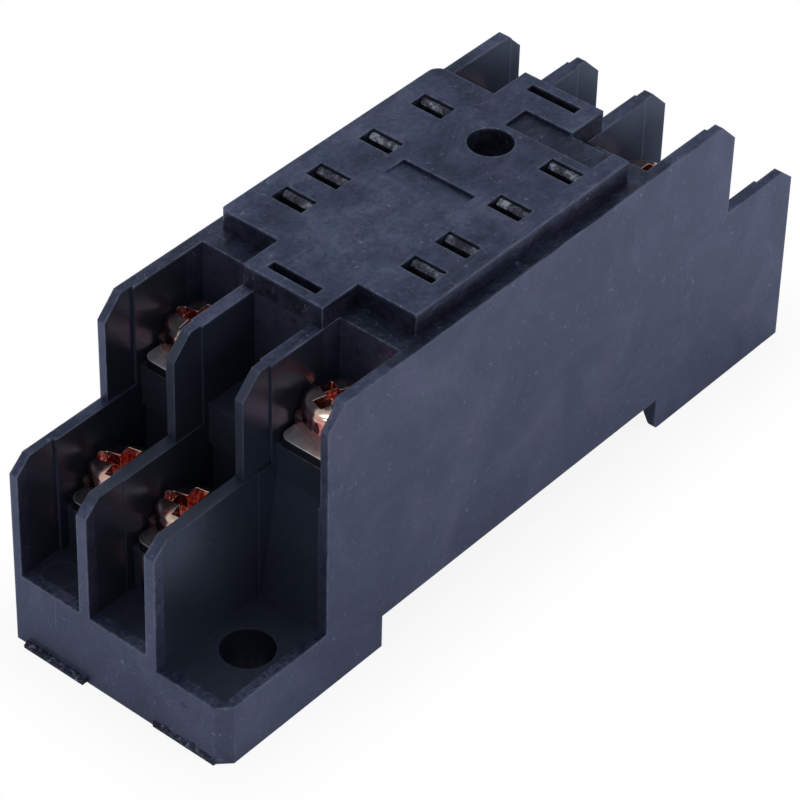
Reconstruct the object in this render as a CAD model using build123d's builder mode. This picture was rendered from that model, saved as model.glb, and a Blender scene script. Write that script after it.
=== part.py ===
from build123d import *
import os

os.makedirs("parts", exist_ok=True)

# Screw-terminal socket for a two-pole plug-in relay, for a 35 mm rail or two screws.
# X runs along the length, Z is up, and the origin lies on the underside, midway along the
# rail notch. One end half is the other turned by 180 degrees, so the features of an end are
# written as u, the distance outward from the middle, and v, the distance across towards
# that end's mounting bay. The near end lies at -X and has its mounting bay at -Y.
NEAR = "near"
FAR = "far"
toward = {NEAR: -1, FAR: 1}

# Moulded body
body_width = 22.2
end_at = {NEAR: 35.95, FAR: 35.1}
end_draft = 0.2
foot_corner = 1.1
lower_tier_top = 18.4
upper_tier_top = 28.1
upper_tier_front = 25.9
short_wall_front = 24.4
lower_chamfer_run = 1.5
lower_chamfer_drop = 1.3
upper_chamfer_run = 1.9
upper_chamfer_drop = 1.95

# Walls between the bays
wall = 1.05
wall_at_end = 0.8
partition = 1.2
lower_partition_end = 1.05
upper_partition_end = 0.85
partition_centre = 3.52
thin_lower_length = 4.1
thin_upper_length = 3.0

# Bays
lower_floor = 7.0
mount_floor = 5.9
lower_seat = 11.25
upper_seat = 20.2
lower_seat_front = 31.05
upper_seat_front = 22.4
lower_screw_set_back = 3.35
upper_screw_set_back = 3.6
seat_undercut = 0.4
seat_undercut_top = 16.2
mount_back_foot = 24.2
mount_back_rise = 17.0

# Deck
deck_height = 2.0
deck_half_length = 13.05
left_ledge = 1.05
right_ledge = 1.3
deck_near_corner = 0.4
deck_far_corner = 1.1
tongue_front = 17.1
tongue_half_width = 4.05
deck_skin = 1.8
blade_row_near_outer = -8.4
blade_row_near_inner = -4.3
blade_row_far_inner = 2.0
blade_row_far_outer = 8.4
blade_column = 6.6
blade_slot_x = 1.9
blade_slot_y = 3.2
clip_slot_x = 15.7
clip_slot_length = 5.0
clip_slot_width = 0.9
clip_slot_depth = 5.0
deck_hole_x = 7.7
deck_hole_radius = 1.93
pointer_length = 2.8
pointer_width = 7.35
pointer_depth = 0.3
label_field_start = 10.3
label_field_left = 0.73
label_field_right = -8.2
label_field_depth = 0.35

# Fixing to a rail or a panel
rail_notch = 35.5
rail_notch_height = 3.25
rail_lip_reach = 1.2
rail_lip_height = 1.9
rail_lip_half_width = 8.0
rail_lip_lead = 0.7
mount_u = 29.5
mount_side = 3.6
mount_hole_radius = 2.25
core_wall = 1.5
core_side_wall = 1.8
core_rib = 0.75
core_depth = 3.0
foot_tip_wall = 1.25
foot_tip_bevel = 0.7
foot_tip_rise = 1.3
foot_tip_round = 0.45

# Terminals
plate_side_gap = 0.315
plate_thick = 1.0
plate_overhang = 0.1
plate_corner = 0.8
plate_back_gap = 0.2
neck_width = 3.0
neck_gap = 0.1
neck_overlap = 1.0
cross_run_u = 13.5
tail_slot_width = 4.4
tail_room = 0.35
tail_bore_gap = 0.4

# Screws and clamp washers
shank_radius = 1.5
shank_length = 8.0
tapped_gap = 0.05
head_overhang = 0.1
head_height = 2.0
head_chamfer = 0.4
drive_slot_width = 1.0
drive_slot_depth = 0.9
drive_cross_length = 3.6
drive_cross_width = 1.15
drive_cross_depth = 1.3
washer_set_in = 0.45
washer_thick = 1.0
washer_corner = 0.3
washer_turn = -12.0
washer_bore_gap = 0.1

# Contact clips
clip_width = 3.0
leaf_thick = 0.35
clip_half_span = 1.0
throat_half_gap = 0.22
mouth_half_span = 0.85
clip_top_below_deck = 0.25
throat_below_tip = 0.3
short_leaf_below_tip = 0.8
shoulder_below_throat = 2.8
pocket_gap = 0.5

# Base cover and its hollow rivet
cover_thick = 2.0
cover_gap = 0.1
rivet_web = 2.0
rivet_radius = 1.2
rivet_bore = 0.9
rivet_gap = 0.05
rivet_flange_radius = 1.75
rivet_flange = 0.3
rivet_sink = 0.5

# Sprung rail clip in the far foot
slide_stem_half = 3.0
slide_flange_half = 4.2
slide_bottom = 0.3
slide_stem_height = 1.2
slide_flange_height = 1.2
slide_gap = 0.15
slide_reach = 1.4
slide_nose_lead = 0.8
slide_end_set_in = 0.15
slide_stop_gap = 0.1
slide_pull_slot = 1.2
spring_room = 5.4
spring_post = 1.5
spring_post_half = 1.8
window_half = 2.0
window_start = 21.0
spring_strip = 0.25
spring_turns = 3
spring_height = 1.5

# Sheared moulding gates on the near end
gate_length = 6.4
gate_height = 0.6
gate_left_v = -6.7
gate_left_reach = 0.5
gate_right_v = 6.9
gate_right_reach = 0.15

# Cuts run this far past the surface they open, and flats are told apart to this much
past = 1.0
same_place = 0.01

# Worked-out values
half_width = body_width / 2
deck_top = upper_tier_top + deck_height
deck_left = half_width - left_ledge
deck_right = -half_width + right_ledge
lower_screw_u = lower_seat_front - lower_screw_set_back
upper_screw_u = upper_seat_front - upper_screw_set_back
upper_back = upper_screw_u - upper_screw_set_back
blade_rows = (blade_row_near_outer, blade_row_near_inner, blade_row_far_inner, blade_row_far_outer)
wall_face = half_width - wall
thin_wall_face = half_width - wall_at_end
bay_inner = partition_centre + partition / 2
middle_half = partition_centre - partition / 2
outer_bay_v = (wall_face + bay_inner) / 2
plate_width = wall_face - bay_inner - 2 * plate_side_gap
washer_side = plate_width - washer_set_in
head_radius = plate_width / 2 + head_overhang
mount_v = half_width - mount_side
half_notch = rail_notch / 2
above = deck_top + past
pocket_top = deck_top - deck_skin
pocket_x = 2 * (clip_half_span + pocket_gap)
pocket_y = clip_width + 2 * pocket_gap
cover_top = rail_notch_height + cover_thick
rivet_seat = cover_top + rivet_web
slide_flange_bottom = slide_bottom + slide_stem_height
slide_top = slide_flange_bottom + slide_flange_height
window_end = window_start + spring_room + spring_post

# Each terminal: its end, seat height, seat front, screw place, blade row and blade column
terminals = {}
for end, inner_row, outer_row in (
    (NEAR, blade_row_near_inner, blade_row_near_outer),
    (FAR, blade_row_far_inner, blade_row_far_outer),
):
    outer_side, mount_side = ("left", "right") if end == NEAR else ("right", "left")
    lower = (end, lower_seat, lower_seat_front, lower_screw_u)
    upper = (end, upper_seat, upper_seat_front, upper_screw_u)
    terminals[f"{end}_lower_{outer_side}"] = (*lower, -outer_bay_v, inner_row, -blade_column)
    terminals[f"{end}_lower_middle"] = (*lower, 0, inner_row, blade_column)
    terminals[f"{end}_upper_{outer_side}"] = (*upper, -outer_bay_v, outer_row, -blade_column)
    terminals[f"{end}_upper_{mount_side}"] = (*upper, outer_bay_v, outer_row, blade_column)


def across(end, outline, v_low, v_high, mode=Mode.SUBTRACT):
    """Sweep a (u, z) outline straight across one lane of an end."""
    way = toward[end]
    y_low, y_high = sorted((way * v_low, way * v_high))
    with BuildSketch(Plane.XZ.offset(-y_high)) as profile:
        with BuildLine():
            Polyline([(way * u, z) for u, z in outline], close=True)
        make_face()
    extrude(profile.sketch, amount=y_high - y_low, mode=mode)


def upright(end, u_low, u_high, v_low, v_high, z_low, z_high, mode=Mode.SUBTRACT):
    """A straight block between two u, two v and two z values of an end."""
    across(end, [(u_low, z_low), (u_high, z_low), (u_high, z_high), (u_low, z_high)], v_low, v_high, mode)


def round_hole(x, y, radius, z_low, z_high):
    """A plain round hole between two heights."""
    with BuildSketch(Plane.XY.offset(z_low)) as mouth:
        with Locations((x, y)):
            Circle(radius)
    extrude(mouth.sketch, amount=z_high - z_low, mode=Mode.SUBTRACT)


def strip_outline(end, front, screw_u, screw_v, row, column, clearance):
    """Plan of a stamped terminal: the plate under the screw and the neck to its blade row."""
    way = toward[end]
    back = 2 * screw_u - front + plate_back_gap
    plate_front = front + plate_overhang
    plate_end = back + neck_overlap
    neck = neck_width + 2 * clearance
    neck_end = way * row - neck / 2
    with BuildSketch() as outline:
        if clearance == 0:
            with Locations((way * (plate_front + back) / 2, way * screw_v)):
                RectangleRounded(plate_front - back, plate_width, plate_corner)
        if screw_v == 0:
            turn_low, turn_high = cross_run_u - neck / 2, cross_run_u + neck / 2
            with Locations((way * (turn_low + plate_end) / 2, 0)):
                Rectangle(plate_end - turn_low, neck)
            with Locations((way * cross_run_u, way * column / 2)):
                Rectangle(neck, abs(column) + neck)
            with Locations((way * (neck_end + turn_high) / 2, way * column)):
                Rectangle(turn_high - neck_end, neck)
        else:
            with Locations((way * (neck_end + plate_end) / 2, way * column)):
                Rectangle(plate_end - neck_end, neck)
    return outline.sketch


def side_outline():
    """Both tiers, the two feet and the rail notch, seen from the side."""
    near_side = [
        (-half_notch, rail_notch_height),
        (-half_notch, 0),
        (-end_at[NEAR] - end_draft, 0),
        (-end_at[NEAR], lower_tier_top - lower_chamfer_drop),
        (-end_at[NEAR] + lower_chamfer_run, lower_tier_top),
        (-upper_tier_front, lower_tier_top),
        (-upper_tier_front, upper_tier_top - upper_chamfer_drop),
        (-upper_tier_front + upper_chamfer_run, upper_tier_top),
    ]
    far_side = [
        (upper_tier_front - upper_chamfer_run, upper_tier_top),
        (upper_tier_front, upper_tier_top - upper_chamfer_drop),
        (upper_tier_front, lower_tier_top),
        (end_at[FAR] - lower_chamfer_run, lower_tier_top),
        (end_at[FAR], lower_tier_top - lower_chamfer_drop),
        (end_at[FAR] + end_draft, 0),
        (half_notch, 0),
        (half_notch, rail_notch_height),
    ]
    return near_side + far_side


# Housing: one black moulding with both terminal tiers, the deck and the two feet
with BuildPart() as housing:
    with BuildSketch(Plane.XZ.offset(-half_width)):
        with BuildLine():
            Polyline(side_outline(), close=True)
        make_face()
    extrude(amount=body_width)
    with BuildSketch(Plane.XY.offset(upper_tier_top)):
        with Locations((0, (deck_left + deck_right) / 2)):
            Rectangle(2 * deck_half_length, deck_left - deck_right)
        Rectangle(2 * tongue_front, 2 * tongue_half_width)
    extrude(amount=deck_top - upper_tier_top)
    left_deck_corners = (
        housing.edges()
        .filter_by(Axis.Z)
        .filter_by(lambda e: abs(e.center().Y - deck_left) < same_place)
        .filter_by(lambda e: e.center().Z > upper_tier_top)
    )
    fillet(left_deck_corners.sort_by(Axis.X)[0], deck_near_corner)
    fillet(left_deck_corners.sort_by(Axis.X)[-1], deck_far_corner)

    for end in (NEAR, FAR):
        beyond = end_at[end] + end_draft + past
        outside = half_width + past
        top = [(upper_back, above), (beyond, above)]
        lower_step = [
            (beyond, lower_floor),
            (lower_seat_front, lower_floor),
            (lower_seat_front, lower_seat),
            (upper_seat_front - seat_undercut, lower_seat),
            (upper_seat_front - seat_undercut, seat_undercut_top),
            (upper_seat_front, seat_undercut_top),
            (upper_seat_front, upper_seat),
        ]
        mount_step = [
            (beyond, mount_floor),
            (mount_back_foot, mount_floor),
            (upper_seat_front, mount_back_rise),
            (upper_seat_front, upper_seat),
        ]
        # Two terminal bays, the middle bay behind the tongue, and the mounting bay
        across(end, lower_step + [(upper_back, upper_seat)] + top, -wall_face, -bay_inner)
        tongue = [(tongue_front, upper_seat), (tongue_front, above), (beyond, above)]
        across(end, lower_step + tongue, -middle_half, middle_half)
        across(end, mount_step + [(upper_back, upper_seat)] + top, bay_inner, wall_face)
        lower_bay = partition_centre + lower_partition_end / 2
        upper_bay = partition_centre + upper_partition_end / 2
        lower_middle = partition_centre - lower_partition_end / 2
        upper_middle = partition_centre - upper_partition_end / 2

        # The outer wall beside the mounting bay stops short, with the same cut corner
        upright(end, short_wall_front, beyond, lower_bay, outside, mount_floor, above)
        corner_cut = [
            (short_wall_front - upper_chamfer_run, upper_tier_top),
            (short_wall_front, upper_tier_top - upper_chamfer_drop),
            (short_wall_front, upper_tier_top),
        ]
        across(end, corner_cut, wall_face, half_width)

        # The bay walls are a little thinner near their open ends
        thin_lower = end_at[end] - thin_lower_length
        thin_upper = upper_tier_front - thin_upper_length
        upright(end, thin_lower, beyond, -thin_wall_face, -lower_bay, lower_floor, above)
        upright(end, thin_lower, beyond, -lower_middle, lower_middle, lower_floor, above)
        upright(end, thin_upper, beyond, -thin_wall_face, -upper_bay, lower_tier_top, above)
        upright(end, thin_upper, beyond, -upper_middle, upper_middle, lower_tier_top, above)
        upright(end, thin_upper, beyond, upper_bay, thin_wall_face, lower_tier_top, above)

        # Panel screw hole, through the mounting bay's floor
        mount_x, mount_y = toward[end] * mount_u, toward[end] * mount_v
        round_hole(mount_x, mount_y, mount_hole_radius, -past, mount_floor + past)

    # Blade slots, each above the pocket of its contact clip
    with BuildSketch(Plane.XY.offset(pocket_top)) as blade_slots:
        for row in blade_rows:
            with Locations((row, blade_column), (row, -blade_column)):
                Rectangle(blade_slot_x, blade_slot_y)
    extrude(blade_slots.sketch, amount=deck_skin + past, mode=Mode.SUBTRACT)
    with BuildSketch(Plane.XY.offset(rail_notch_height)) as pockets:
        for row in blade_rows:
            with Locations((row, blade_column), (row, -blade_column)):
                Rectangle(pocket_x, pocket_y)
    extrude(pockets.sketch, amount=pocket_top - rail_notch_height, mode=Mode.SUBTRACT)

    # Terminal necks, screw tails and the open slots under the lower plates
    for end, seat, front, screw_u, screw_v, row, column in terminals.values():
        screw_x, screw_y = toward[end] * screw_u, toward[end] * screw_v
        neck_way = strip_outline(end, front, screw_u, screw_v, row, column, neck_gap)
        extrude(Plane.XY.offset(seat) * neck_way, amount=plate_thick + neck_gap, mode=Mode.SUBTRACT)
        tail_bottom = seat + plate_thick + washer_thick - shank_length - tail_room
        if seat == lower_seat:
            half_slot = tail_slot_width / 2
            round_hole(screw_x, screw_y, half_slot, tail_bottom, seat)
            slot_low, slot_high = screw_v - half_slot, screw_v + half_slot
            upright(end, screw_u, front + past, slot_low, slot_high, lower_floor, seat)
        else:
            round_hole(screw_x, screw_y, shank_radius + tail_bore_gap, tail_bottom, seat)

    # Slots for the hold-down clip, and the way to the base rivet
    with BuildSketch(Plane.XY.offset(deck_top - clip_slot_depth)) as clip_slots:
        with Locations((-clip_slot_x, 0), (clip_slot_x, 0)):
            Rectangle(clip_slot_width, clip_slot_length)
    extrude(clip_slots.sketch, amount=clip_slot_depth + past, mode=Mode.SUBTRACT)
    round_hole(deck_hole_x, 0, deck_hole_radius, rivet_seat, deck_top + past)
    round_hole(deck_hole_x, 0, rivet_radius + rivet_gap, rail_notch_height, rivet_seat + past)

    # Sloping pointer mark and the bare field for a label
    across(
        FAR,
        [
            (-pointer_length / 2, deck_top),
            (pointer_length / 2, deck_top - pointer_depth),
            (pointer_length / 2, deck_top + past),
            (-pointer_length / 2, deck_top + past),
        ],
        -pointer_width / 2,
        pointer_width / 2,
    )
    upright(
        FAR,
        label_field_start,
        deck_half_length,
        label_field_right,
        label_field_left,
        deck_top - label_field_depth,
        deck_top + past,
    )

    # Seat of the base cover between the feet
    upright(FAR, -half_notch, half_notch, -wall_face, wall_face, 0, cover_top)

    # Fixed rail lip on the near foot
    across(
        NEAR,
        [
            (half_notch + past, rail_lip_height),
            (half_notch - rail_lip_reach, rail_lip_height),
            (half_notch - rail_lip_reach, rail_lip_lead),
            (half_notch - rail_lip_reach + rail_lip_lead, 0),
            (half_notch + past, 0),
        ],
        -rail_lip_half_width,
        rail_lip_half_width,
        Mode.ADD,
    )

    # Guide of the rail clip through the far foot, and the post that its spring bears on
    way_start, way_end = half_notch - past, end_at[FAR] + end_draft + past
    stem_side, flange_side = slide_stem_half + slide_gap, slide_flange_half + slide_gap
    way_top, flange_low = slide_top + slide_gap, slide_flange_bottom - slide_gap
    upright(FAR, way_start, way_end, -stem_side, stem_side, -past, way_top)
    upright(FAR, way_start, way_end, -flange_side, flange_side, flange_low, way_top)
    upright(
        FAR,
        window_end - spring_post,
        window_end,
        -spring_post_half,
        spring_post_half,
        slide_bottom,
        way_top,
        Mode.ADD,
    )

    # Hollows that even out the wall of the feet, open below
    near_core_end = end_at[NEAR] - core_wall
    core_start = half_notch + core_wall
    core_side = half_width - core_side_wall
    boss_edge = mount_u - mount_hole_radius - core_wall
    upright(NEAR, core_start, near_core_end, -core_side, -core_rib, -past, core_depth)
    upright(NEAR, core_start, boss_edge, core_rib, core_side, -past, core_depth)
    far_core_end = end_at[FAR] - core_wall
    tip_side = half_width - foot_tip_wall
    upright(FAR, way_start, far_core_end, -tip_side, -flange_side - core_rib, -past, core_depth)

    # The far hollow opens on the notch; the wall beside it has a bevelled, rounded tip
    with BuildSketch(Plane.YZ.offset(way_start)) as tip_bevel:
        with BuildLine():
            Polyline(
                (-tip_side, foot_tip_rise),
                (-tip_side - foot_tip_bevel, 0),
                (-tip_side, 0),
                close=True,
            )
        make_face()
    extrude(tip_bevel.sketch, amount=far_core_end - way_start, mode=Mode.SUBTRACT)
    tip_edge = (
        housing.edges()
        .filter_by(Axis.Y)
        .filter_by(lambda e: abs(e.center().X - half_notch) < same_place and e.center().Y < -tip_side)
        .filter_by(lambda e: abs(e.center().Z) < same_place)
    )
    fillet(tip_edge, foot_tip_round)

    # Foot corners: cut off beside the mounting bays, rounded at the others
    for end, way in toward.items():
        mount_corner = (
            housing.edges()
            .filter_by(lambda e: abs(e.center().Y - way * half_width) < same_place)
            .filter_by(lambda e: way * e.center().X > end_at[end] and e.center().Z < mount_floor)
            .filter_by(lambda e: abs(e.length - mount_floor) < past)
        )
        chamfer(mount_corner, foot_corner)

    # Rough strips where the moulding gates were sheared off
    gate_places = ((gate_left_v, gate_left_reach), (gate_right_v, gate_right_reach))
    for gate_v, gate_reach in gate_places:
        face_u = end_at[NEAR] + end_draft
        across(
            NEAR,
            [
                (face_u - past, 0),
                (face_u + gate_reach, 0),
                (face_u + gate_reach, gate_height / 2),
                (face_u, gate_height),
                (face_u - past, gate_height),
            ],
            gate_v - gate_length / 2,
            gate_v + gate_length / 2,
            Mode.ADD,
        )
housing.part.label = "housing"
export_step(housing.part, "parts/housing.step")


# Base cover: a flat plate that closes the housing from below, flush with the notch
with BuildPart() as base_cover:
    with BuildSketch(Plane.XY.offset(rail_notch_height)):
        Rectangle(rail_notch - 2 * cover_gap, 2 * (wall_face - cover_gap))
    extrude(amount=cover_thick)
    cover_low = rail_notch_height - past
    flange_way = rivet_flange_radius + cover_gap
    round_hole(deck_hole_x, 0, rivet_radius + rivet_gap, cover_low, cover_top + past)
    round_hole(deck_hole_x, 0, flange_way, cover_low, rail_notch_height + rivet_sink)
base_cover.part.label = "base_cover"
export_step(base_cover.part, "parts/base_cover.step")


# Hollow rivet: holds the cover to the web at the bottom of the deck hole
with BuildPart() as base_rivet:
    rivet_low = rail_notch_height + rivet_sink
    with BuildSketch(Plane.XZ):
        with BuildLine():
            Polyline(
                (rivet_bore, rivet_low - rivet_flange),
                (rivet_flange_radius, rivet_low - rivet_flange),
                (rivet_flange_radius, rivet_low),
                (rivet_radius, rivet_low),
                (rivet_radius, rivet_seat),
                (rivet_flange_radius, rivet_seat),
                (rivet_flange_radius, rivet_seat + rivet_flange),
                (rivet_bore, rivet_seat + rivet_flange),
                close=True,
            )
        make_face()
    revolve(axis=Axis.Z)
base_rivet_placed = Pos(deck_hole_x, 0, 0) * base_rivet.part
base_rivet_placed.label = "base_rivet"
export_step(base_rivet_placed, "parts/base_rivet.step")


# Rail clip: a T-shaped slide whose nose catches the rail, with a window for its spring
with BuildPart() as rail_clip:
    slide_end = end_at[FAR] - slide_end_set_in
    nose_u = half_notch - slide_reach
    body_u = half_notch + slide_gap
    across(
        FAR,
        [
            (nose_u, rail_lip_height),
            (nose_u, slide_bottom + slide_nose_lead),
            (nose_u + slide_nose_lead, slide_bottom),
            (slide_end, slide_bottom),
            (slide_end, slide_top),
            (body_u, slide_top),
            (body_u, rail_lip_height),
        ],
        -slide_stem_half,
        slide_stem_half,
        Mode.ADD,
    )
    flange = slide_flange_half
    upright(FAR, body_u, slide_end, -flange, flange, slide_flange_bottom, slide_top, Mode.ADD)
    window_stop = window_end + slide_stop_gap
    upright(FAR, window_start, window_stop, -window_half, window_half, 0, slide_top + past)
    upright(
        FAR,
        slide_end - 2 * slide_pull_slot,
        slide_end - slide_pull_slot,
        -window_half,
        window_half,
        slide_bottom,
        slide_flange_bottom,
    )
rail_clip.part.label = "rail_clip"
export_step(rail_clip.part, "parts/rail_clip.step")


# Clip spring: a folded steel strip between the slide's window and the post
with BuildPart() as clip_spring:
    spring_gap = cover_gap / 2
    fold_pitch = (spring_room - 2 * spring_gap - spring_strip) / (2 * spring_turns)
    spring_side = spring_post_half - spring_strip
    spring_points = []
    for fold in range(2 * spring_turns + 1):
        fold_x = window_start + spring_gap + spring_strip / 2 + fold * fold_pitch
        fold_y = spring_side if fold % 2 == 0 else -spring_side
        spring_points.append((fold_x, fold_y))
    with BuildSketch(Plane.XY.offset((slide_bottom + slide_top - spring_height) / 2)):
        with BuildLine() as folds:
            Polyline(spring_points)
        trace(folds.line, line_width=spring_strip)
    extrude(amount=spring_height)
clip_spring.part.label = "clip_spring"
export_step(clip_spring.part, "parts/clip_spring.step")


def clip_outline(foot):
    """Side view of a contact clip: a flat foot, a long flared leaf and a short plain one."""
    tip = deck_top - clip_top_below_deck
    throat = tip - throat_below_tip
    shoulder = throat - shoulder_below_throat
    short_tip = tip - short_leaf_below_tip
    long_leaf = [
        (clip_half_span, foot),
        (clip_half_span, shoulder),
        (throat_half_gap + leaf_thick, throat),
        (mouth_half_span, tip),
        (mouth_half_span - leaf_thick, tip),
        (throat_half_gap, throat),
        (clip_half_span - leaf_thick, shoulder),
        (clip_half_span - leaf_thick, foot + leaf_thick),
    ]
    short_leaf = [
        (leaf_thick - clip_half_span, foot + leaf_thick),
        (leaf_thick - clip_half_span, shoulder),
        (-throat_half_gap, short_tip),
        (-throat_half_gap - leaf_thick, short_tip),
        (-clip_half_span, shoulder),
        (-clip_half_span, foot),
    ]
    return long_leaf + short_leaf


for name, (end, seat, front, screw_u, screw_v, row, column) in terminals.items():
    screw_x, screw_y = toward[end] * screw_u, toward[end] * screw_v
    row_y = toward[end] * column
    plate_top = seat + plate_thick
    washer_top = plate_top + washer_thick
    turned = Plane.XY.offset(plate_top) * Location((screw_x, screw_y, 0), (0, 0, washer_turn))

    # Terminal: a stamped strip, tapped for the screw and running in to its blade row
    with BuildPart() as terminal:
        extrude(
            Plane.XY.offset(seat) * strip_outline(end, front, screw_u, screw_v, row, column, 0),
            amount=plate_thick,
        )
        round_hole(screw_x, screw_y, shank_radius + tapped_gap, seat - past, plate_top + past)
    terminal.part.label = f"terminal_{name}"
    export_step(terminal.part, f"parts/terminal_{name}.step")

    # Contact clip: a spring clip standing on the strip's inner end, under its blade slot
    with BuildPart() as contact:
        with BuildSketch(Plane.XZ.offset(-row_y - clip_width / 2)):
            with BuildLine():
                Polyline([(row + x, z) for x, z in clip_outline(plate_top)], close=True)
            make_face()
        extrude(amount=clip_width)
    contact.part.label = f"contact_{name}"
    export_step(contact.part, f"parts/contact_{name}.step")

    # Clamp washer: a square plate that the walls keep from turning with the screw
    with BuildPart() as washer:
        with BuildSketch(Plane(turned)):
            square = Rectangle(washer_side, washer_side)
            chamfer(square.vertices(), washer_corner)
            Circle(shank_radius + washer_bore_gap, mode=Mode.SUBTRACT)
        extrude(amount=washer_thick)
    washer.part.label = f"washer_{name}"
    export_step(washer.part, f"parts/washer_{name}.step")

    # Terminal screw: a pan head with a straight slot and a cross in it
    with BuildPart() as screw:
        with BuildSketch(Plane((screw_x, screw_y, washer_top))):
            Circle(head_radius)
        extrude(amount=head_height)
        chamfer(screw.edges().sort_by(Axis.Z)[-1], head_chamfer)
        with BuildSketch(Plane((screw_x, screw_y, washer_top))):
            Circle(shank_radius)
        extrude(amount=-shank_length)
        head_top = Plane((screw_x, screw_y, washer_top + head_height))
        with BuildSketch(head_top):
            Rectangle(2 * head_radius + past, drive_slot_width)
        extrude(amount=-drive_slot_depth, mode=Mode.SUBTRACT)
        with BuildSketch(head_top):
            Rectangle(drive_cross_length, drive_cross_width)
            Rectangle(drive_cross_width, drive_cross_length)
        extrude(amount=-drive_cross_depth, mode=Mode.SUBTRACT)
    screw.part.label = f"screw_{name}"
    export_step(screw.part, f"parts/screw_{name}.step")
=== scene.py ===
import math

import bpy
from mathutils import Matrix, Vector


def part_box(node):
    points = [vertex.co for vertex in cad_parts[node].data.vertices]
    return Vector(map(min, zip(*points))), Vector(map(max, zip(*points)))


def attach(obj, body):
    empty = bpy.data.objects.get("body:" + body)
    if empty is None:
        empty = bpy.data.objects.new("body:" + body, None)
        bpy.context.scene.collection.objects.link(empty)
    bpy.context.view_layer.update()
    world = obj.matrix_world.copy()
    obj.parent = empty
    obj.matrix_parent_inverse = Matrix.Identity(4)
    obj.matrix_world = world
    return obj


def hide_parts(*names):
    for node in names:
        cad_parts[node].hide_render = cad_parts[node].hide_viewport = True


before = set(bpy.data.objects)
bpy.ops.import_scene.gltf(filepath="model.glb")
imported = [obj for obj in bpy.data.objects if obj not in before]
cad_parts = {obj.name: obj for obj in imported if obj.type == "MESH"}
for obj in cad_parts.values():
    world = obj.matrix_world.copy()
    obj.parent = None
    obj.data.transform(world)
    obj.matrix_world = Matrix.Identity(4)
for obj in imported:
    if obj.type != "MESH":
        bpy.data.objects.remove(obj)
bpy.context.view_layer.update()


# Housing: one black compression moulding of wood-flour phenolic, which holds every other
# piece. The flow of the powder leaves a faint mottle, polished cores leave smooth bays, and
# the trimming of the flash and years of handling leave pale edges, hairlines and scuffs.
# Painted shade darkens the bays, the low sides of the deck and the fixing holes, and painted
# light brightens the open upright faces.
class Shader:
    """A Principled material that is built up one shader node at a time."""

    def __init__(self, name):
        self.material = bpy.data.materials.new(name)
        self.material.use_nodes = True
        self.tree = self.material.node_tree
        self.surface = self.tree.nodes["Principled BSDF"]
        coordinates = self.node("ShaderNodeTexCoord")
        self.place = coordinates.outputs["Object"]
        self.facing = coordinates.outputs["Normal"]

    def node(self, kind, settings=None, **inputs):
        made = self.tree.nodes.new(kind)
        for name, value in (settings or {}).items():
            setattr(made, name, value)
        for name, value in inputs.items():
            self.feed(made, name.replace("_", " "), value)
        return made

    def feed(self, node, name, value):
        socket = node.inputs[name] if isinstance(name, str) else name
        if isinstance(value, bpy.types.NodeSocket):
            self.tree.links.new(value, socket)
        else:
            socket.default_value = value

    def maths(self, kind, *values):
        made = self.node("ShaderNodeMath", {"operation": kind})
        for socket, value in zip(made.inputs, values):
            self.feed(made, socket, value)
        return made.outputs[0]

    def times(self, first, *others):
        product = first
        for other in others:
            product = self.maths("MULTIPLY", product, other)
        return product

    def away_from(self, value, centre):
        """How far a value is from a centre, on either side of it."""
        return self.maths("ABSOLUTE", self.maths("SUBTRACT", value, centre))

    def distance(self, along, across):
        squares = (self.maths("POWER", side, 2.0) for side in (along, across))
        return self.maths("SQRT", self.maths("ADD", *squares))

    def slope(self, value, low, high, kind="LINEAR"):
        """0 at low, 1 at high, and level outside them."""
        made = self.node("ShaderNodeMapRange", {"interpolation_type": kind}, Value=value)
        made.inputs["From Min"].default_value = low
        made.inputs["From Max"].default_value = high
        return made.outputs["Result"]

    def above(self, value, edge, fade):
        """1 where the value is over an edge, 0 under it, with a soft change between."""
        return self.slope(value, edge - fade, edge + fade, "SMOOTHSTEP")

    def below(self, value, edge, fade):
        """1 where the value is under an edge, 0 over it, with a soft change between."""
        return self.slope(value, edge + fade, edge - fade, "SMOOTHSTEP")

    def stretch(self, x, y, z):
        """Object coordinates stretched along the axes."""
        mapping = self.node("ShaderNodeMapping")
        self.feed(mapping, "Vector", self.place)
        mapping.inputs["Scale"].default_value = (x, y, z)
        return mapping.outputs["Vector"]

    def noise(self, scale, detail=4.0, roughness=0.55, distortion=0.0, at=None):
        made = self.node("ShaderNodeTexNoise", Scale=scale, Detail=detail, Roughness=roughness)
        made.inputs["Distortion"].default_value = distortion
        self.feed(made, "Vector", at or self.place)
        return made.outputs["Fac"]

    def ramp(self, value, *stops):
        """A smooth change through (place, colour or grey) stops."""
        made = self.node("ShaderNodeValToRGB")
        band = made.color_ramp.elements
        while len(band) < len(stops):
            band.new(0.5)
        for element, (place, colour) in zip(band, stops):
            element.position = place
            grey = (colour, colour, colour) if isinstance(colour, (int, float)) else colour
            element.color = (*grey, 1)
        self.feed(made, "Fac", value)
        return made.outputs["Color"]

    def mix(self, factor, low, high, kind="MIX"):
        made = self.node("ShaderNodeMix", {"data_type": "RGBA", "blend_type": kind})
        self.feed(made, made.inputs["Factor"], factor)
        for socket, value in ((made.inputs[6], low), (made.inputs[7], high)):
            if isinstance(value, tuple):
                value = (*value, 1)
            self.feed(made, socket, value)
        return made.outputs[2]

    def part(self, vector, letter):
        """The X, Y or Z part of a place or a direction."""
        return self.node("ShaderNodeSeparateXYZ", Vector=vector).outputs[letter]

    def outer_edge(self, reach):
        """0 on the flats and in inner corners, rising to 1 along the outer edges."""
        made = self.node("ShaderNodeAmbientOcclusion", {"samples": 5, "inside": True, "only_local": True})
        made.inputs["Distance"].default_value = reach
        flat, crest = 0.93, 0.60
        return self.slope(made.outputs["AO"], flat, crest)

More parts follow.
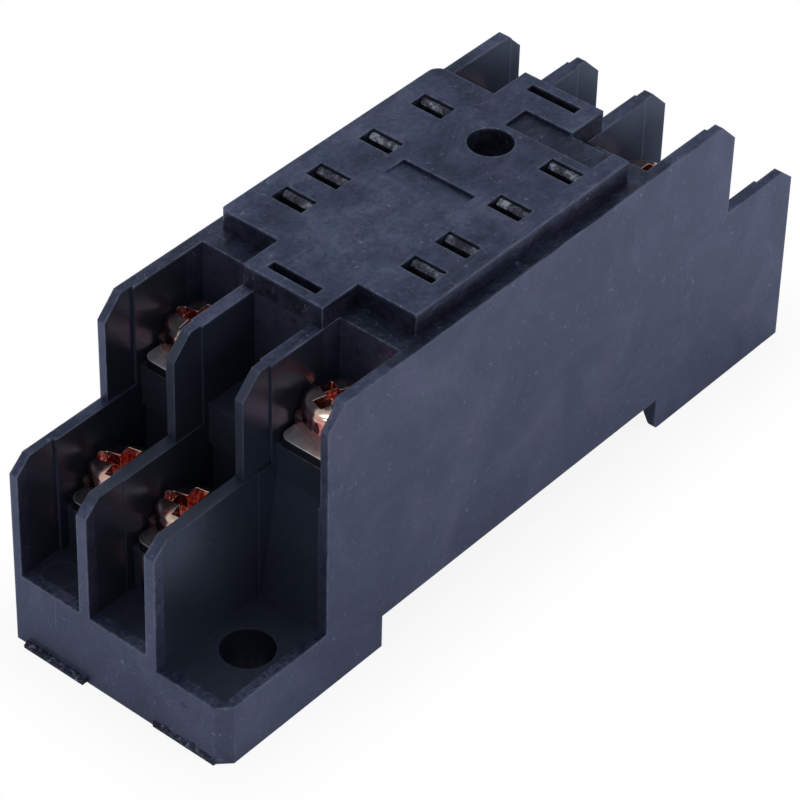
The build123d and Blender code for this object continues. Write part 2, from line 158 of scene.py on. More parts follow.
    def rounded_edge(self, radius, edge):
        """The surface direction with its outer edges rounded off and its inner corners sharp."""
        made = self.node("ShaderNodeBevel", {"samples": 5})
        made.inputs["Radius"].default_value = radius
        flat = self.node("ShaderNodeNewGeometry").outputs["Normal"]
        blend = self.node("ShaderNodeMix", {"data_type": "VECTOR"})
        for socket, value in ((0, edge), (4, flat), (5, made.outputs["Normal"])):
            self.feed(blend, blend.inputs[socket], value)
        return blend.outputs[1]

    def bump(self, height, strength, distance, normal=None):
        made = self.node("ShaderNodeBump", Strength=strength, Distance=distance, Height=height)
        if normal is not None:
            self.feed(made, "Normal", normal)
        return made.outputs["Normal"]

    def finish(self, **inputs):
        for name, value in inputs.items():
            self.feed(self.surface, name.replace("_", " "), value)
        return self.material


def dress(names, material):
    """Give CAD pieces a material in every slot."""
    for name in names:
        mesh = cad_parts[name].data
        if not mesh.materials:
            mesh.materials.append(material)
        for place in range(len(mesh.materials)):
            mesh.materials[place] = material


class Moulding(Shader):
    """A moulded plastic, the marks that the tool and the trimming left on the housing, and the painted shade
    on it.
    """

    # Places of the marks and of the painted shade on the housing, in metres from the middle of its foot
    wall_face = 0.01016
    outer_wall_middle = 0.0107
    deck_end = 0.0171
    bay_front = 0.0350
    bay_bottom, bay_top = 0.0054, 0.0279
    ledge_edge = 0.01101
    # Levels between which the low sides of the deck are painted in shade
    skin_low, skin_high = 0.028005, 0.029865
    hole_x, hole_y, hole_radius, hole_top = 0.0295, 0.0075, 0.00225, 0.0059
    front_face = -0.0357
    proud_gate_x, flush_gate_y, flush_gate_half = -0.03625, -0.0069, 0.00325
    pin_x, pin_y, pin_radius, pin_floor = -0.0339, 0.0082, 0.0015, 0.0070
    scratch_y, scratch_low, scratch_high = 0.0067, 0.0038, 0.00645
    nick_y, nick_z, nick_half_width, nick_half_height = -0.0068, 0.0043, 0.000335, 0.00023

    def __init__(self, name):
        super().__init__(name)
        self.x, self.y, self.level = (self.part(self.place, letter) for letter in "XYZ")
        self.from_middle_x = self.maths("ABSOLUTE", self.x)
        self.from_middle_y = self.maths("ABSOLUTE", self.y)
        self.at_near_end = self.below(self.x, self.front_face, 0.0001)

    def bays(self):
        """1 inside the bays, up to the inner faces of the outer walls."""
        inward = self.below(self.from_middle_y, self.wall_face, 0.00006)
        sideways = self.above(self.maths("ABSOLUTE", self.part(self.facing, "Y")), 0.85, 0.05)
        wall = self.times(self.below(self.from_middle_y, self.outer_wall_middle, 0.00005), sideways)
        return self.times(
            self.maths("MAXIMUM", inward, wall),
            self.above(self.from_middle_x, self.deck_end, 0.0001),
            self.below(self.from_middle_x, self.bay_front, 0.0001),
            self.above(self.level, self.bay_bottom, 0.0004),
            self.below(self.level, self.bay_top, 0.00005),
        )

    def deck_side_shade(self, flow):
        """Painted shade: 1 in patches on the low sides of the deck and on the ledge below them."""
        return self.times(
            self.below(self.from_middle_x, self.deck_end + 0.00007, 0.00005),
            self.below(self.from_middle_y, self.ledge_edge, 0.00011),
            self.above(self.level, self.skin_low, 0.000055),
            self.below(self.level, self.skin_high, 0.000115),
            self.ramp(flow, (0.38, 0.25), (0.56, 1.0)),
        )

    def fixing_hole_shade(self):
        """Painted shade: 1 on the walls of the two fixing holes, each the half-turn twin of the other."""
        twin_y = self.times(self.y, self.maths("SIGN", self.x))
        off_x = self.maths("SUBTRACT", self.from_middle_x, self.hole_x)
        off_y = self.maths("SUBTRACT", twin_y, self.hole_y)
        return self.times(
            self.below(self.distance(off_x, off_y), self.hole_radius + 0.000075, 0.000045),
            self.below(self.level, self.hole_top - 0.000155, 0.000145),
        )

    def hairlines(self, scuff):
        """Fine scratches: the level lines of a slow noise, broken up by the scuffs."""
        wander = self.noise(95, 2, 0.4, 1.2)
        line = self.below(self.away_from(wander, 0.5), 0.0010, 0.0006)
        return self.times(line, self.ramp(scuff, (0.5, 0.0), (0.56, 1.0)))

    def torn_gates(self, flow):
        """1 on the two sheared gates of the near end: one proud stub, and one cut nearly
        flush with a ragged upper line."""
        ragged_line = self.maths("MULTIPLY_ADD", flow, 0.0022, -0.00045)
        under_line = self.below(self.maths("SUBTRACT", self.level, ragged_line), 0.0, 0.00006)
        off_gate = self.away_from(self.y, self.flush_gate_y)
        flush = self.times(self.below(off_gate, self.flush_gate_half, 0.00015), under_line, self.at_near_end)
        return self.maths("MAXIMUM", self.below(self.x, self.proud_gate_x, 0.00007), flush)

    def pin_ring(self):
        """The ring that an ejector pin left on the floor of the outer near bay."""
        off_x = self.maths("SUBTRACT", self.x, self.pin_x)
        off_y = self.maths("SUBTRACT", self.y, self.pin_y)
        return self.times(
            self.below(self.away_from(self.distance(off_x, off_y), self.pin_radius), 0.00012, 0.00005),
            self.below(self.level, self.pin_floor + 0.00015, 0.00005),
            self.above(self.level, self.pin_floor - 0.0002, 0.0001),
        )

    def scratch(self):
        """An upright scratch on the near end's base."""
        return self.times(
            self.below(self.away_from(self.y, self.scratch_y), 0.00005, 0.00002),
            self.above(self.level, self.scratch_low, 0.0004),
            self.below(self.level, self.scratch_high, 0.00025),
            self.at_near_end,
        )

    def nick(self, grain):
        """A small ragged nick on the near end's base."""
        return self.times(
            self.below(self.away_from(self.y, self.nick_y), self.nick_half_width, 0.000085),
            self.below(self.away_from(self.level, self.nick_z), self.nick_half_height, 0.00007),
            self.ramp(grain, (0.44, 0.0), (0.52, 1.0)),
            self.at_near_end,
        )


def moulded(name, dark, mid, pale, edge_tint, bay_shade):
    """Black moulded plastic: cloudy mottle, flow lines, pale flecks and rubbed outer edges, with painted
    shade in the bays, on the low sides of the deck and in the fixing holes, and painted light on the open
    upright faces.
    """
    look = Moulding(name)
    black = (0.006, 0.008, 0.014)
    cloud = look.noise(150, 5, 0.62, 0.8)
    flow = look.noise(420, 6, 0.66, 1.6, look.stretch(0.7, 1.5, 1.3))
    grain = look.noise(2100, 5, 0.7, 0.6)
    fleck = look.noise(3300, 3, 0.55, 0.9)
    scuff = look.noise(900, 6, 0.7, 0.3, look.stretch(0.35, 1.6, 1.0))
    fine = look.mix(0.5, flow, grain)
    body = look.ramp(look.mix(0.5, cloud, fine), (0.40, dark), (0.50, mid), (0.60, pale))
    hue = look.ramp(look.noise(330, 4, 0.6, 0.5), (0.36, (0.94, 1.03, 1.0)), (0.64, (1.12, 0.98, 1.02)))
    body = look.mix(1.0, body, hue, "MULTIPLY")

    # Painted shade: the bays take a flat, darker tone; they were formed by polished cores, so their walls
    # are also smoother and plainer
    shaded_smooth_bays = look.bays()
    outside_bays = look.maths("SUBTRACT", 1.0, shaded_smooth_bays)
    plain = look.maths("MULTIPLY_ADD", shaded_smooth_bays, -0.75, 1.0)
    calm = look.maths("MULTIPLY_ADD", shaded_smooth_bays, -0.92, 1.0)
    body = look.mix(look.times(shaded_smooth_bays, 0.85), body, bay_shade)

    # Upward faces took the grain of the tool; the open upright faces are evened out and lightened, which is
    # painted light
    upward = look.above(look.part(look.facing, "Z"), 0.7, 0.1)
    lit_open_side = look.times(look.maths("SUBTRACT", 1.0, upward), outside_bays)
    body = look.mix(look.times(lit_open_side, 0.6), body, mid)
    body = look.mix(lit_open_side, body, look.mix(1.0, body, (1.32, 1.18, 1.12), "MULTIPLY"))

    # Painted shade: the low sides of the deck, the ledge below them and the fixing holes are darkened
    # towards black
    body = look.mix(look.times(look.deck_side_shade(flow), 0.8), body, black)
    body = look.mix(look.times(look.fixing_hole_shade(), 0.8), body, black)

    # Pale flecks of filler, and hairlines from handling
    seldom = look.ramp(look.noise(640, 3, 0.6, 0.4), (0.46, 0.0), (0.60, 1.0))
    flecks = look.times(look.ramp(fleck, (0.61, 0.0), (0.70, 1.0)), seldom, plain)
    body = look.mix(look.times(flecks, 0.7), body, edge_tint)
    body = look.mix(look.times(look.hairlines(scuff), plain, 0.28), body, edge_tint)

    # Outer edges are rubbed pale in a broken line
    edge_radius = 0.00022
    edge = look.times(look.outer_edge(edge_radius), plain)
    worn = look.times(edge, look.ramp(scuff, (0.40, 0.1), (0.60, 1.0)))
    body = look.mix(look.times(worn, 0.5), body, edge_tint)

    # The sheared gates are rough, dark and flecked
    torn = look.torn_gates(flow)
    body = look.mix(look.times(torn, 0.65), body, black)
    body = look.mix(look.times(torn, look.ramp(grain, (0.52, 0.0), (0.62, 0.8))), body, edge_tint)

    light_marks = look.maths("MAXIMUM", look.times(look.pin_ring(), 0.12), look.times(look.scratch(), 0.22))
    body = look.mix(light_marks, body, edge_tint)
    body = look.mix(look.times(look.nick(grain), 0.7), body, black)

    bay_gloss = 0.28
    gloss = look.ramp(fine, (0.36, 0.24), (0.64, 0.44))
    gloss = look.mix(look.times(shaded_smooth_bays, 0.8), gloss, (bay_gloss, bay_gloss, bay_gloss))
    gloss = look.maths("ADD", gloss, look.times(worn, 0.12))
    gloss = look.maths("ADD", gloss, look.times(torn, 0.3))

    uneven = look.maths("SUBTRACT", fine, 0.5)
    lively = look.maths("MULTIPLY_ADD", upward, 1.15, 0.60)
    shaped = look.rounded_edge(edge_radius, edge)
    shaped = look.bump(look.times(uneven, calm, lively), 0.6, 0.00012, shaped)
    shaped = look.bump(flecks, 0.25, 0.00002, shaped)
    shaped = look.bump(look.times(grain, torn), 1.0, 0.0003, shaped)
    return look.finish(
        Base_Color=body,
        Roughness=gloss,
        Normal=shaped,
        IOR=1.6,
        Specular_Tint=(0.66, 0.74, 1.0, 1),
        Metallic=0.65,
    )


dress(
    ["housing"],
    moulded(
        "black_phenolic",
        dark=(0.017, 0.023, 0.046),
        mid=(0.038, 0.048, 0.090),
        pale=(0.074, 0.088, 0.150),
        edge_tint=(0.182, 0.208, 0.292),
        # The bay tone is painted shade inside the bays
        bay_shade=(0.036, 0.045, 0.066),
    ),
)


# Base cover: a plain board of paper and phenolic resin, punched out, that closes the
# contact pockets from below. It is brown-black and shows its paper fibres.
board = Shader("fibre_board")
fibres = board.noise(700, 6, 0.7, 0.8, board.stretch(0.3, 1.4, 1.0))
layers = board.noise(260, 4, 0.6, 0.2, board.stretch(0.4, 0.4, 9.0))
board_colour = board.ramp(
    board.mix(0.4, fibres, layers),
    (0.3, (0.018, 0.010, 0.006)),
    (0.55, (0.038, 0.021, 0.012)),
    (0.8, (0.072, 0.042, 0.024)),
)
board_edge = 0.00015
rounded_board = board.rounded_edge(board_edge, board.outer_edge(board_edge))
dress(
    ["base_cover"],
    board.finish(
        Base_Color=board_colour,
        Roughness=board.ramp(fibres, (0.3, 0.42), (0.7, 0.62)),
        Normal=board.bump(fibres, 0.3, 0.00004, rounded_board),
    ),
)


# Hollow rivet: drawn brass, tarnished a little. It is rolled over below the hole in the
# deck and holds the base cover.
def rolled_metal(name, dark, mid, pale, grain, line_scale, rough_low, rough_high, edge_tint, shaded_side_tint=None):
    """Rolled or plated metal: drifting tone, fine rolling lines along the grain, bright
    rubbed edges and, where a tint for the upright sides is given, those sides painted dark
    as shade."""
    look = Shader(name)
    drift = look.noise(320, 5, 0.6, 0.7)
    lines = look.noise(line_scale, 5, 0.65, 0.1, look.stretch(*grain))
    tone = look.ramp(look.mix(0.4, drift, lines), (0.32, dark), (0.5, mid), (0.7, pale))
    if shaded_side_tint is not None:
        # The upright sides are painted dark as shade
        upright = look.below(look.maths("ABSOLUTE", look.part(look.facing, "Z")), 0.5, 0.1)
        tone = look.mix(upright, tone, shaded_side_tint)
    edge_radius = 0.00012
    edge = look.outer_edge(edge_radius)
    tone = look.mix(look.times(edge, 0.8), tone, edge_tint)
    return look.finish(
        Base_Color=tone,
        Metallic=1.0,
        Roughness=look.ramp(look.mix(0.5, drift, lines), (0.3, rough_low), (0.7, rough_high)),
        Normal=look.bump(lines, 0.18, 0.00003, look.rounded_edge(edge_radius, edge)),
    )


dress(
    ["base_rivet"],
    rolled_metal(
        "rivet_brass",
        dark=(0.34, 0.22, 0.08),
        mid=(0.55, 0.37, 0.15),
        pale=(0.70, 0.50, 0.22),
        grain=(1.0, 1.0, 0.3),
        line_scale=1800,
        rough_low=0.26,
        rough_high=0.45,
        edge_tint=(0.85, 0.66, 0.34),
    ),
)


# Rail clip: a separate moulding of black nylon that slides in the ways of the far foot. It
# is a little browner and duller than the housing.
dress(
    ["rail_clip"],
    moulded(
        "black_nylon",
        dark=(0.026, 0.026, 0.030),
        mid=(0.040, 0.040, 0.046),
        pale=(0.060, 0.060, 0.068),
        edge_tint=(0.150, 0.150, 0.165),
        # The bay tone is painted shade inside the bays
        bay_shade=(0.036, 0.036, 0.042),
    ),
)


# Clip spring: a strip of spring steel, folded zigzag and squeezed between the rail clip's
# window and a post of the housing.
dress(
    ["clip_spring"],
    rolled_metal(
        "spring_steel",
        dark=(0.16, 0.17, 0.19),
        mid=(0.28, 0.29, 0.32),
        pale=(0.42, 0.43, 0.46),
        grain=(0.5, 1.0, 4.0),
        line_scale=1500,
        rough_low=0.28,
        rough_high=0.42,
        edge_tint=(0.62, 0.63, 0.66),
    ),
)


# Terminal strips: stamped brass, nickel plated, and slid into seats in the bays. They have
# fine rolling lines and bright edges; their sheared upright sides are painted dark as shade,
# and the lower strips are painted darker than the upper ones as shade in their deeper bays.
TERMINALS = [
    "near_lower_left",
    "near_lower_middle",
    "near_upper_left",
    "near_upper_right",
    "far_lower_right",
    "far_lower_middle",
    "far_upper_right",
    "far_upper_left",
]
# The lower strips take a much darker tone than the upper ones: painted shade in their deeper bays
nickel_tones_with_shade = {
    "upper": ((0.56, 0.60, 0.66), (0.74, 0.78, 0.83), (0.90, 0.92, 0.94)),
    "lower": ((0.10, 0.11, 0.13), (0.19, 0.20, 0.23), (0.34, 0.36, 0.39)),
}
for tier, (dark, mid, pale) in nickel_tones_with_shade.items():
    dress(
        ["terminal_" + name for name in TERMINALS if tier in name],
        rolled_metal(
            "nickel_" + tier + "_tier",
            dark,
            mid,
            pale,
            grain=(0.35, 2.2, 1.0),
            line_scale=2200,
            rough_low=0.28,
            rough_high=0.44,
            edge_tint=(0.95, 0.96, 0.97),
            # The dark tint of the upright sides is painted shade
            shaded_side_tint=(0.045, 0.050, 0.060),
        ),
    )


# Contact clips: tinned bronze, pressed to shape and dropped into pockets below the blade
# slots. Their flared lips show there as a dull grey grain; below the lips they are painted near black as
# shade.
lip_foot = 0.02943
contact = Shader("tinned_bronze")
tin_grain = contact.noise(3200, 6, 0.75, 0.6)
tin_blot = contact.noise(500, 4, 0.6, 0.5)
tin = contact.ramp(
    contact.mix(0.5, tin_grain, tin_blot),
    (0.42, (0.028, 0.032, 0.046)),
    (0.51, (0.088, 0.098, 0.13)),
    (0.60, (0.38, 0.42, 0.52)),
)
# Below the lips the colour goes near black: painted shade in the pockets
shade_under_lip = contact.below(contact.part(contact.place, "Z"), lip_foot, 0.00005)
lip_edge = 0.0001
rounded_lip = contact.rounded_edge(lip_edge, contact.outer_edge(lip_edge))
dress(
    ["contact_" + name for name in TERMINALS],
    contact.finish(
        Base_Color=contact.mix(contact.times(shade_under_lip, 0.85), tin, (0.010, 0.012, 0.018)),
        Metallic=0.85,
        Roughness=contact.ramp(tin_grain, (0.3, 0.42), (0.7, 0.66)),
        Normal=contact.bump(tin_grain, 0.9, 0.00012, rounded_lip),
    ),
)


# Clamp washers: square steel washers under the screw heads, stamped, zinc plated and
# passivated, which gives them their rose and gold tints.
washer = Shader("washer_zinc")
film_drift = washer.noise(520, 4, 0.6, 1.1)
deep_patch = washer.ramp(washer.noise(240, 3, 0.5, 0.6), (0.42, 0.0), (0.66, 0.55))
stamped_lines = washer.noise(2600, 4, 0.6, 0.1, washer.stretch(1.0, 1.0, 0.2))
rose, gold, olive = (0.90, 0.34, 0.36), (0.88, 0.48, 0.44), (0.62, 0.42, 0.36)
washer_film = washer.ramp(film_drift, (0.30, rose), (0.50, gold), (0.68, olive))
washer_film = washer.mix(deep_patch, washer_film, (0.42, 0.10, 0.10))
washer_edge = washer.outer_edge(0.00012)
washer_film = washer.mix(washer.times(washer_edge, 0.7), washer_film, (0.98, 0.86, 0.74))
dress(
    ["washer_" + name for name in TERMINALS],
    washer.finish(
        Base_Color=washer_film,
        Metallic=1.0,
        Roughness=washer.ramp(stamped_lines, (0.3, 0.18), (0.7, 0.32)),
        Normal=washer.bump(stamped_lines, 0.12, 0.00003, washer.rounded_edge(0.00012, washer_edge)),
    ),
)


# Terminal screws: M3 steel screws with a domed cheese head, a driver slot with a cross in
# it, and a rolled thread; zinc plated and passivated, deeper in colour inside the recess.
screw_tree = bpy.data.node_groups.new("terminal_screw", "GeometryNodeTree")
screw_inputs = {}
for name, kind, default in (
    ("Seat", "NodeSocketVector", (0, 0, 0)),
    ("Turn", "NodeSocketFloat", 0.0),
    ("Head Radius", "NodeSocketFloat", 0.00275),
    ("Head Height", "NodeSocketFloat", 0.002),
    ("Shank Radius", "NodeSocketFloat", 0.0015),
    ("Shank Length", "NodeSocketFloat", 0.008),
    ("Thread Pitch", "NodeSocketFloat", 0.0005),
    ("Thread Depth", "NodeSocketFloat", 0.0003),
    ("Slot Width", "NodeSocketFloat", 0.001),
    ("Slot Depth", "NodeSocketFloat", 0.0009),
    ("Cross Length", "NodeSocketFloat", 0.0036),
    ("Cross Width", "NodeSocketFloat", 0.00115),
    ("Cross Depth", "NodeSocketFloat", 0.0013),
    ("Material", "NodeSocketMaterial", None),
):
    socket = screw_tree.interface.new_socket(name=name, in_out="INPUT", socket_type=kind)
    if default is not None:
        socket.default_value = default
    screw_inputs[name] = socket.identifier
screw_tree.interface.new_socket(name="Geometry", in_out="OUTPUT", socket_type="NodeSocketGeometry")
size = {socket.name: socket for socket in screw_tree.nodes.new("NodeGroupInput").outputs}


def step(kind, settings=None, links=None):
    """One node of the screw's tree, with its settings and its sockets fed."""
    made = screw_tree.nodes.new(kind)
    for name, value in (settings or {}).items():
        setattr(made, name, value)
    for name, value in (links or {}).items():
        if isinstance(value, bpy.types.NodeSocket):
            screw_tree.links.new(value, made.inputs[name])
        else:
            made.inputs[name].default_value = value
    return made


def work_out(kind, first, second=0.0, third=0.0):
    """A sum in the screw's tree."""
    return step("ShaderNodeMath", {"operation": kind}, {0: first, 1: second, 2: third}).outputs[0]


def drawn_outline(value, points, corners):
    """A value read off a drawn outline that is smooth but for its corners."""
    made = step("ShaderNodeFloatCurve", None, {"Value": value})
    curve = made.mapping.curves[0]
    curve.points[0].location = points[0]
    curve.points[1].location = points[-1]
    for point in points[1:-1]:
        curve.points.new(*point)
    for place, point in enumerate(curve.points):
        point.handle_type = "VECTOR" if place in corners else "AUTO"
    made.mapping.update()
    return made.outputs["Value"]


def turned_body(steps_round, steps_along, radius, height):
    """A lathed surface: radius(round, along) and height(along) of a rolled-up grid."""
    grid = step(
        "GeometryNodeMeshGrid",
        None,
        {"Size X": 1.0, "Size Y": 1.0, "Vertices X": steps_round + 1, "Vertices Y": steps_along + 1},
    )
    split = step("ShaderNodeSeparateXYZ", None, {0: step("GeometryNodeInputPosition").outputs[0]})
    turn = work_out("MULTIPLY_ADD", split.outputs["X"], math.tau, math.pi)
    along = work_out("ADD", split.outputs["Y"], 0.5)
    reach = radius(turn, along)
    place = step(
        "ShaderNodeCombineXYZ",
        None,
        {
            "X": work_out("MULTIPLY", reach, work_out("COSINE", turn)),
            "Y": work_out("MULTIPLY", reach, work_out("SINE", turn)),
            "Z": height(along),
        },
    )
    rolled = step(
        "GeometryNodeSetPosition", None, {"Geometry": grid.outputs["Mesh"], "Position": place.outputs[0]}
    )
    seam = 0.000004
    closed = step("GeometryNodeMergeByDistance", None, {"Geometry": rolled.outputs[0], "Distance": seam})
    return closed.outputs[0]


# The head: flat below, upright side, wide rounded shoulder and a slight dome on top
head_outline = (
    (0.0, 0.0, 0.0),
    (0.12, 0.94, 0.0),
    (0.17, 1.0, 0.06),
    (0.38, 1.0, 0.55),
    (0.52, 0.955, 0.80),
    (0.64, 0.84, 0.915),
    (0.82, 0.45, 0.985),
    (1.0, 0.0, 1.0),
)
head_reach = [(along, reach) for along, reach, rise in head_outline]
head_rise = [(along, rise) for along, reach, rise in head_outline]
head_corners = (0, 1, 2)


def head_radius(turn, along):
    return work_out("MULTIPLY", drawn_outline(along, head_reach, head_corners), size["Head Radius"])


def head_level(along):
    return work_out("MULTIPLY", drawn_outline(along, head_rise, head_corners), size["Head Height"])


head = turned_body(72, 44, head_radius, head_level)

# The shank: its radius dips between the thread's crests, which climb by one pitch a turn
tip_start = 0.985


def thread_radius(turn, along):
    fall = work_out("MULTIPLY", along, size["Shank Length"])
    lead = work_out("DIVIDE", fall, size["Thread Pitch"])
    phase = work_out("ADD", lead, work_out("DIVIDE", turn, math.tau))
    groove = work_out("MULTIPLY", work_out("PINGPONG", phase, 0.5), 2.0)
    crest = work_out("SUBTRACT", size["Shank Radius"], work_out("MULTIPLY", groove, size["Thread Depth"]))
    tip = drawn_outline(along, [(0.0, 1.0), (0.93, 1.0), (tip_start, 0.72), (1.0, 0.0)], (0, 1, 2, 3))
    return work_out("MULTIPLY", crest, tip)


def thread_level(along):
    downward = work_out("MULTIPLY", size["Shank Length"], -1 / tip_start)
    return work_out("MULTIPLY", work_out("MINIMUM", along, tip_start), downward)


shank = turned_body(32, 112, thread_radius, thread_level)


def cutter(length, width, depth):
    """A block that hangs from just above the head down to a depth."""
    above = 0.001
    block_size = step(
        "ShaderNodeCombineXYZ", None, {"X": length, "Y": width, "Z": work_out("ADD", depth, above)}
    )
    block = step("GeometryNodeMeshCube", None, {"Size": block_size.outputs[0]})
    drop = work_out("MULTIPLY_ADD", depth, -0.5, above / 2)
    place = step("ShaderNodeCombineXYZ", None, {"Z": work_out("ADD", size["Head Height"], drop)})
    return step(
        "GeometryNodeTransform",
        None,
        {"Geometry": block.outputs["Mesh"], "Translation": place.outputs[0]},
    ).outputs[0]


past_the_head = 2.4
slot_length = work_out("MULTIPLY", size["Head Radius"], past_the_head)
recess = step(
    "GeometryNodeMeshBoolean", {"operation": "DIFFERENCE", "solver": "EXACT"}, {"Mesh 1": head}
)
for block in (
    cutter(slot_length, size["Slot Width"], size["Slot Depth"]),
    cutter(size["Cross Length"], size["Cross Width"], size["Cross Depth"]),
    cutter(size["Cross Width"], size["Cross Length"], size["Cross Depth"]),
):
    screw_tree.links.new(block, recess.inputs["Mesh 2"])

whole = step("GeometryNodeJoinGeometry")
for piece in (shank, recess.outputs["Mesh"]):
    screw_tree.links.new(piece, whole.inputs["Geometry"])
turned = step("ShaderNodeCombineXYZ", None, {"Z": size["Turn"]})
placed = step(
    "GeometryNodeTransform",
    None,
    {"Geometry": whole.outputs[0], "Rotation": turned.outputs[0], "Translation": size["Seat"]},
)
smooth = step("GeometryNodeSetShadeSmooth", None, {"Geometry": placed.outputs[0]})
sharp_fold = 0.7
fold = step("GeometryNodeInputMeshEdgeAngle").outputs["Unsigned Angle"]
creased = step(
    "GeometryNodeSetShadeSmooth",
    {"domain": "EDGE"},
    {
        "Geometry": smooth.outputs[0],
        "Selection": work_out("GREATER_THAN", fold, sharp_fold),
        "Shade Smooth": False,
    },
)
real = step("GeometryNodeRealizeInstances", None, {"Geometry": creased.outputs[0]})
coloured = step(
    "GeometryNodeSetMaterial", None, {"Geometry": real.outputs[0], "Material": size["Material"]}
)
out = screw_tree.nodes.new("NodeGroupOutput")
screw_tree.links.new(coloured.outputs[0], out.inputs[0])


def screw_zinc(name, head_top):
    """Passivated zinc whose film is red and a little burred down in the recess below a
    head top."""
    look = Shader(name)
    drift = look.noise(520, 4, 0.6, 1.1)
    turned_lines = look.noise(2600, 4, 0.6, 0.1, look.stretch(1.0, 1.0, 0.2))
    copper, rose, olive = (0.78, 0.36, 0.30), (0.78, 0.58, 0.50), (0.48, 0.43, 0.32)
    tint = look.ramp(drift, (0.36, copper), (0.50, rose), (0.64, olive))
    depth = look.maths("SUBTRACT", head_top, look.part(look.place, "Z"))
    in_recess = look.slope(depth, 0.00025, 0.0008)
    dark_red, red, bare = (0.44, 0.10, 0.10), (0.62, 0.28, 0.22), (0.95, 0.72, 0.66)
    film = look.ramp(turned_lines, (0.38, dark_red), (0.60, red), (0.72, bare))
    tint = look.mix(in_recess, tint, film)
    edge = look.outer_edge(0.00013)
    tint = look.mix(look.times(edge, 0.6), tint, (0.95, 0.72, 0.64))
    burrs = look.maths("SUBTRACT", look.noise(1400, 2, 0.5, 0.4), 0.5)
    shaped = look.bump(turned_lines, 0.08, 0.00001, look.rounded_edge(0.00014, edge))
    return look.finish(
        Base_Color=tint,
        Metallic=1.0,
        Roughness=look.ramp(turned_lines, (0.3, 0.09), (0.7, 0.19)),
        Normal=look.bump(look.times(burrs, in_recess), 0.5, 0.00012, shaped),
    )


# How the slot of each screw lies, in degrees
screw_turns = {
    "near_lower_left": 103,
    "near_lower_middle": 101,
    "near_upper_left": 96,
    "near_upper_right": 71,
    "far_lower_right": 81,
    "far_lower_middle": 122,
    "far_upper_right": 92,
    "far_upper_left": 70,
}
head_height = 0.002
for name, degrees in screw_turns.items():
    low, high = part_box("screw_" + name)
    centre = (low + high) / 2
    host = bpy.data.objects.new("host_" + name, bpy.data.meshes.new("host_" + name))
    bpy.context.scene.collection.objects.link(host)
    maker = host.modifiers.new("screw", "NODES")
    maker.node_group = screw_tree
    maker[screw_inputs["Seat"]] = (centre.x, centre.y, high.z - head_height)
    maker[screw_inputs["Turn"]] = math.radians(degrees)
    maker[screw_inputs["Head Radius"]] = (high.x - low.x) / 2
    maker[screw_inputs["Head Height"]] = head_height
    maker[screw_inputs["Material"]] = screw_zinc("screw_zinc_" + name, high.z)
    evaluated = host.evaluated_get(bpy.context.evaluated_depsgraph_get())
    mesh = bpy.data.meshes.new_from_object(evaluated)
    host.modifiers.remove(maker)
    bpy.data.objects.remove(host)
    mesh.name = "terminal_screw_" + name
    screw = bpy.data.objects.new("terminal_screw_" + name, mesh)
    bpy.context.scene.collection.objects.link(screw)
    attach(screw, "screw_" + name + "_turning")
    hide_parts("screw_" + name)


# Floor: a white card. It takes the shadow at part of its depth and otherwise reads as the
# photograph's plain white ground.
half_card = 1.6
card_level = -0.00002
card_corners = ((-1, -1), (1, -1), (1, 1), (-1, 1))
floor_mesh = bpy.data.meshes.new("white_card")
floor_mesh.from_pydata(
    [(x * half_card, y * half_card, card_level) for x, y in card_corners], [], [(0, 1, 2, 3)]
)
floor = bpy.data.objects.new("white_card", floor_mesh)
bpy.context.scene.collection.objects.link(floor)
card = Shader("white_card")
off_white = card.ramp(card.noise(30, 3), (0.3, (0.90, 0.90, 0.90)), (0.7, (0.93, 0.93, 0.93)))
card.finish(Base_Color=off_white, Roughness=0.9)

# How far a place lies outside the socket's footprint
half_length, half_width = 0.0360, 0.0111
past = []
for letter, half in (("X", half_length), ("Y", half_width)):
    from_middle = card.maths("ABSOLUTE", card.part(card.place, letter))
    past.append(card.maths("MAXIMUM", card.maths("SUBTRACT", from_middle, half), 0.0))
outside = card.distance(*past)

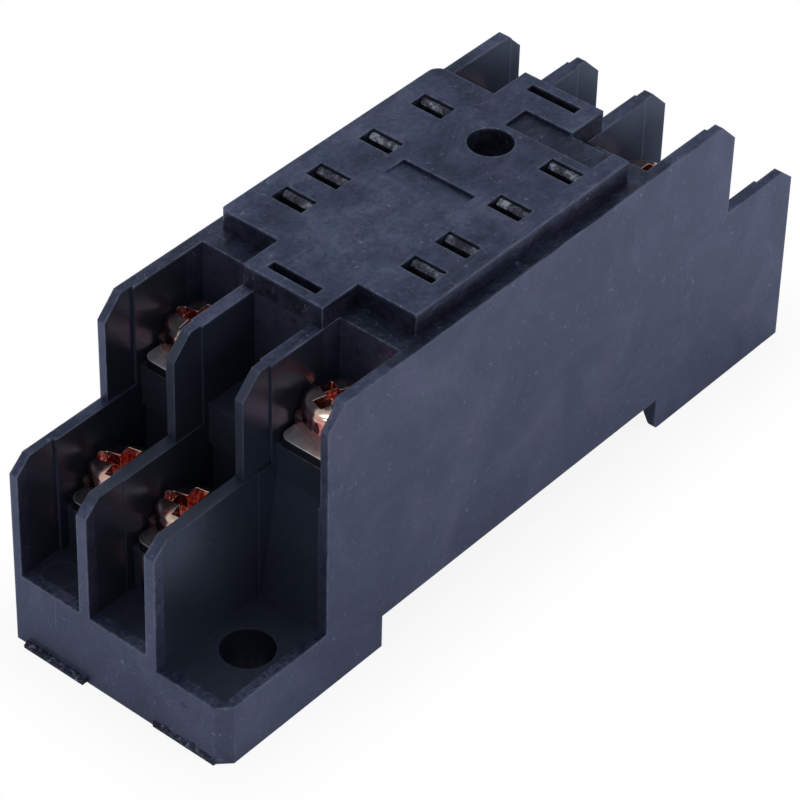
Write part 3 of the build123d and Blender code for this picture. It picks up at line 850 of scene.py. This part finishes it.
# The card is pure white to the camera, but for part of the shadow close by, and in
# reflections only at a distance
ray = card.node("ShaderNodeLightPath").outputs
near_share, shadow_reach, mirror_reach = 0.88, 0.010, 0.030
clear = card.slope(outside, 0.0, shadow_reach, "SMOOTHSTEP")
direct = card.times(ray["Is Camera Ray"], card.maths("MULTIPLY_ADD", clear, 1 - near_share, near_share))
mirrored = card.times(
    card.maths("MAXIMUM", ray["Is Glossy Ray"], ray["Is Transmission Ray"]),
    card.slope(outside, 0.0, mirror_reach, "SMOOTHSTEP"),
)
white = card.node("ShaderNodeEmission", Color=(1, 1, 1, 1), Strength=1.0)
blend = card.node("ShaderNodeMixShader")
card.feed(blend, blend.inputs[0], card.maths("ADD", direct, mirrored))
card.feed(blend, blend.inputs[1], card.surface.outputs[0])
card.feed(blend, blend.inputs[2], white.outputs[0])
card.tree.links.new(blend.outputs[0], card.tree.nodes["Material Output"].inputs["Surface"])
floor_mesh.materials.append(card.material)


# Light: a pale even room and three soft boxes, together about one on a white card.
world = bpy.data.worlds.new("pale_room")
bpy.context.scene.world = world
world.use_nodes = True
room = world.node_tree.nodes["Background"]
room.inputs["Color"].default_value = (1, 1, 1, 1)
room.inputs["Strength"].default_value = 0.60


def soft_box(name, place, sides, power, aim=(0, 0, 0.012)):
    lamp = bpy.data.lights.new(name, "AREA")
    lamp.shape = "RECTANGLE"
    lamp.size, lamp.size_y = sides
    lamp.energy = power
    box = bpy.data.objects.new(name, lamp)
    box.location = place
    box.rotation_euler = (Vector(aim) - Vector(place)).to_track_quat("-Z", "Y").to_euler()
    bpy.context.scene.collection.objects.link(box)


soft_box("left_box", (-0.56, -0.04, 0.50), (0.17, 0.17), 0.60)
soft_box("right_box", (0.16, -0.62, 0.34), (0.36, 0.24), 0.85)
soft_box("top_box", (0.00, 0.12, 0.72), (0.36, 0.36), 0.75)


# Camera: where the photograph was taken from, with a long lens.
azimuth, elevation, roll = (math.radians(degrees) for degrees in (-50.5151, 40.0043, 1.4951))
camera_place = Vector((-0.1801953, -0.1461603, 0.2027886))
flat_reach = math.cos(elevation)
back = Vector((math.sin(azimuth) * flat_reach, -math.cos(azimuth) * flat_reach, math.sin(elevation)))
level = (-back).cross(Vector((0, 0, 1))).normalized()
upward = level.cross(-back)
right = level * math.cos(roll) + upward * math.sin(roll)
up = upward * math.cos(roll) - level * math.sin(roll)
camera_data = bpy.data.cameras.new("camera")
camera_data.sensor_width = 36
camera_data.lens = 165.893
camera_data.clip_start = 0.01
camera_data.clip_end = 20
camera = bpy.data.objects.new("camera", camera_data)
camera.matrix_world = Matrix(
    [(right[row], up[row], back[row], camera_place[row]) for row in range(3)] + [(0, 0, 0, 1)]
)
bpy.context.scene.collection.objects.link(camera)
bpy.context.scene.camera = camera
bpy.context.scene.view_settings.view_transform = "Standard"
